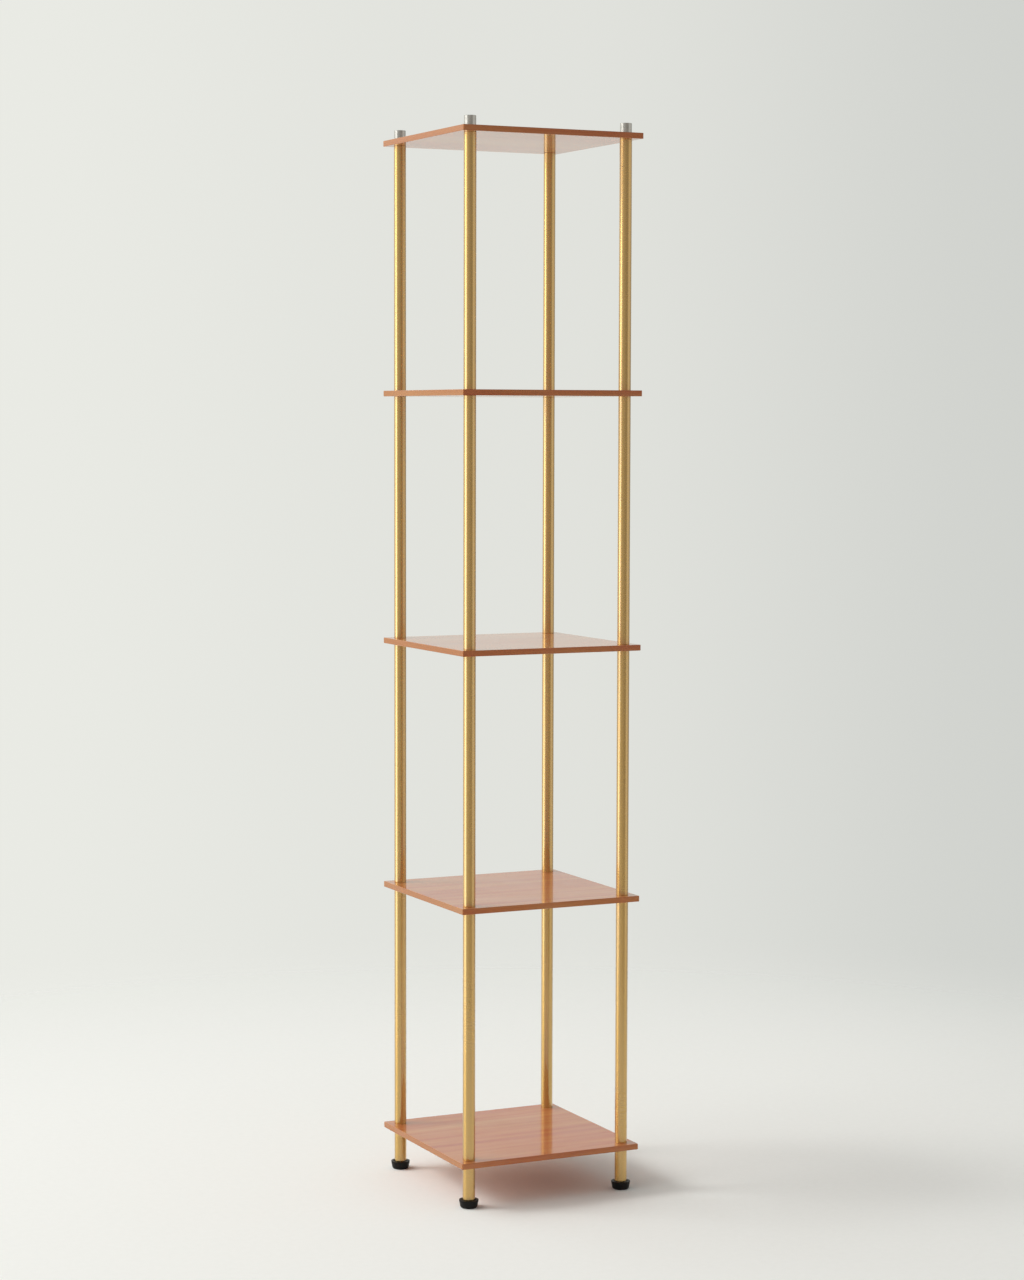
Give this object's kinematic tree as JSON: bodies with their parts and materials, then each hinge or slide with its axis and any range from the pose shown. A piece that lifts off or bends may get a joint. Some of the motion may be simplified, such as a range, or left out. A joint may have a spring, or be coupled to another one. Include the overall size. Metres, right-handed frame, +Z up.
{
  "type": "shelf tower",
  "caption": "Slim free-standing open shelf tower: square cherry-coloured boards on round brass-coloured tube posts at the corners, with metal cap nuts and black screw-in levelling feet.",
  "frame": {"origin": "on the floor, under the middle of the tower", "axes": "+Z up; +X along the grain of the boards, from the left posts to the right ones; +Y from the front posts to the back ones"},
  "size_m": [0.3, 0.3, 1.64],
  "materials": {
    "shelf_wood": "gloss",
    "post_brass": "satin",
    "cap_aluminium": "satin",
    "zinc_steel": "satin",
    "foot_plastic": "satin"
  },
  "bodies": {
    "tower": {"shelf_1": "shelf_wood", "shelf_2": "shelf_wood", "shelf_3": "shelf_wood", "shelf_4": "shelf_wood", "shelf_5": "shelf_wood", "leg_tube_front_left": "post_brass", "post_tube_front_left_1": "post_brass", "post_tube_front_left_2": "post_brass", "post_tube_front_left_3": "post_brass", "post_tube_front_left_4": "post_brass", "tube_plugs_front_left": "zinc_steel", "joining_studs_front_left": "zinc_steel", "cap_nut_front_left": "cap_aluminium", "leg_tube_front_right": "post_brass", "post_tube_front_right_1": "post_brass", "post_tube_front_right_2": "post_brass", "post_tube_front_right_3": "post_brass", "post_tube_front_right_4": "post_brass", "tube_plugs_front_right": "zinc_steel", "joining_studs_front_right": "zinc_steel", "cap_nut_front_right": "cap_aluminium", "leg_tube_back_left": "post_brass", "post_tube_back_left_1": "post_brass", "post_tube_back_left_2": "post_brass", "post_tube_back_left_3": "post_brass", "post_tube_back_left_4": "post_brass", "tube_plugs_back_left": "zinc_steel", "joining_studs_back_left": "zinc_steel", "cap_nut_back_left": "cap_aluminium", "leg_tube_back_right": "post_brass", "post_tube_back_right_1": "post_brass", "post_tube_back_right_2": "post_brass", "post_tube_back_right_3": "post_brass", "post_tube_back_right_4": "post_brass", "tube_plugs_back_right": "zinc_steel", "joining_studs_back_right": "zinc_steel", "cap_nut_back_right": "cap_aluminium"},
    "foot_stud_front_left": {"foot_stud_front_left": "zinc_steel"},
    "foot_pad_front_left": {"foot_pad_front_left": "foot_plastic"},
    "foot_stud_front_right": {"foot_stud_front_right": "zinc_steel"},
    "foot_pad_front_right": {"foot_pad_front_right": "foot_plastic"},
    "foot_stud_back_left": {"foot_stud_back_left": "zinc_steel"},
    "foot_pad_back_left": {"foot_pad_back_left": "foot_plastic"},
    "foot_stud_back_right": {"foot_stud_back_right": "zinc_steel"},
    "foot_pad_back_right": {"foot_pad_back_right": "foot_plastic"}
  },
  "joints": [
    {"name": "foot_travel_front_left", "type": "slide", "parent": "tower", "child": "foot_stud_front_left", "axis": [0, 0, -1], "range_m": [-0.0017, 0.01]},
    {"name": "foot_turn_front_left", "type": "hinge", "parent": "foot_stud_front_left", "child": "foot_pad_front_left", "pos_m": [-0.13, -0.13, 0], "axis": [0, 0, -1], "range_deg": [-613, 3601]},
    {"name": "foot_travel_front_right", "type": "slide", "parent": "tower", "child": "foot_stud_front_right", "axis": [0, 0, -1], "range_m": [-0.0017, 0.01]},
    {"name": "foot_turn_front_right", "type": "hinge", "parent": "foot_stud_front_right", "child": "foot_pad_front_right", "pos_m": [0.13, -0.13, 0], "axis": [0, 0, -1], "range_deg": [-613, 3601]},
    {"name": "foot_travel_back_left", "type": "slide", "parent": "tower", "child": "foot_stud_back_left", "axis": [0, 0, -1], "range_m": [-0.0017, 0.01]},
    {"name": "foot_turn_back_left", "type": "hinge", "parent": "foot_stud_back_left", "child": "foot_pad_back_left", "pos_m": [-0.13, 0.13, 0], "axis": [0, 0, -1], "range_deg": [-613, 3601]},
    {"name": "foot_travel_back_right", "type": "slide", "parent": "tower", "child": "foot_stud_back_right", "axis": [0, 0, -1], "range_m": [-0.0017, 0.01]},
    {"name": "foot_turn_back_right", "type": "hinge", "parent": "foot_stud_back_right", "child": "foot_pad_back_right", "pos_m": [0.13, 0.13, 0], "axis": [0, 0, -1], "range_deg": [-613, 3601]}
  ],
  "couplings": [
    {"joint": "foot_turn_front_left", "follows": "foot_travel_front_left", "rad_per_m": 6283.2},
    {"joint": "foot_turn_front_right", "follows": "foot_travel_front_right", "rad_per_m": 6283.2},
    {"joint": "foot_turn_back_left", "follows": "foot_travel_back_left", "rad_per_m": 6283.2},
    {"joint": "foot_turn_back_right", "follows": "foot_travel_back_right", "rad_per_m": 6283.2}
  ]
}
